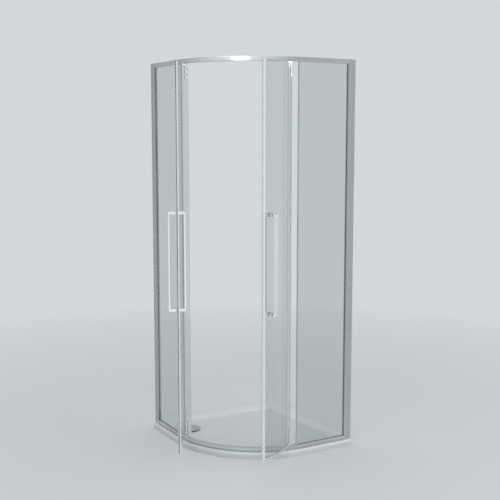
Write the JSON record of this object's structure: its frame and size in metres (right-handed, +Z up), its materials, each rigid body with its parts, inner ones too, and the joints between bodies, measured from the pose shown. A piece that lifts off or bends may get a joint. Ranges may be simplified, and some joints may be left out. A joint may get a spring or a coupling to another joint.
{
  "type": "shower cabin",
  "caption": "Quadrant corner shower cabin with a low tray and waste, fixed panes in polished rails, and curved glass doors that swing on clamp pivots and carry loop handles.",
  "frame": {"origin": "middle of the tray's square outline, on the floor", "axes": "+Z up; the walls stand at the tray's +X and +Y edges, and the doorway faces -X -Y"},
  "size_m": [0.9597, 0.9467, 2.033],
  "materials": {
    "tray_white": "gloss",
    "clear_glass": "clear",
    "polished_aluminium": "polished",
    "chrome": "polished",
    "steel": "satin",
    "clear_strip": "clear",
    "dark_seal": "matte",
    "grey_plastic": "matte"
  },
  "bodies": {
    "frame": {"bottom_rail": "polished_aluminium", "bottom_rail_insert": "grey_plastic", "left_fixed_glass": "clear_glass", "left_pane_edge_seal": "dark_seal", "left_rail_gaskets": "dark_seal", "left_stile": "polished_aluminium", "left_stile_cap": "grey_plastic", "left_stile_gasket": "dark_seal", "left_stile_lips": "dark_seal", "left_stile_screws": "steel", "left_wall_channel": "polished_aluminium", "pivot_blocks": "grey_plastic", "rail_screws": "steel", "right_fixed_glass": "clear_glass", "right_pane_edge_seal": "dark_seal", "right_rail_gaskets": "dark_seal", "right_stile": "polished_aluminium", "right_stile_cap": "grey_plastic", "right_stile_gasket": "dark_seal", "right_stile_lips": "dark_seal", "right_stile_screws": "steel", "right_wall_channel": "polished_aluminium", "shower_tray": "tray_white", "top_rail": "polished_aluminium", "top_rail_insert": "grey_plastic", "waste_flange": "chrome", "waste_gasket": "dark_seal"},
    "right_door": {"right_bottom_hinge_inner_plate": "chrome", "right_bottom_hinge_outer_plate": "chrome", "right_door_glass": "clear_glass", "right_drip_strip": "clear_strip", "right_handle_gaskets": "dark_seal", "right_handle_studs": "steel", "right_hinge_gaskets": "dark_seal", "right_hinge_screws": "steel", "right_inner_handle": "chrome", "right_magnetic_strip": "clear_strip", "right_outer_handle": "chrome", "right_pivot_pins": "steel", "right_top_hinge_inner_plate": "chrome", "right_top_hinge_outer_plate": "chrome"},
    "left_door": {"left_bottom_hinge_inner_plate": "chrome", "left_bottom_hinge_outer_plate": "chrome", "left_door_glass": "clear_glass", "left_drip_strip": "clear_strip", "left_handle_gaskets": "dark_seal", "left_handle_studs": "steel", "left_hinge_gaskets": "dark_seal", "left_hinge_screws": "steel", "left_inner_handle": "chrome", "left_magnetic_strip": "clear_strip", "left_outer_handle": "chrome", "left_pivot_pins": "steel", "left_top_hinge_inner_plate": "chrome", "left_top_hinge_outer_plate": "chrome"},
    "waste_cover": {"waste_cover": "chrome"}
  },
  "joints": [
    {"name": "right_door_swing", "type": "hinge", "parent": "frame", "child": "right_door", "pos_m": [0.017, -0.37074, 1.033], "axis": [0, 0, 1], "range_deg": [-58, 32]},
    {"name": "left_door_swing", "type": "hinge", "parent": "frame", "child": "left_door", "pos_m": [-0.37074, 0.017, 1.033], "axis": [0, 0, -1], "range_deg": [-62, 28]},
    {"name": "waste_cover_lift", "type": "slide", "parent": "frame", "child": "waste_cover", "axis": [0, 0, 1], "range_m": [0, 0.1]}
  ]
}
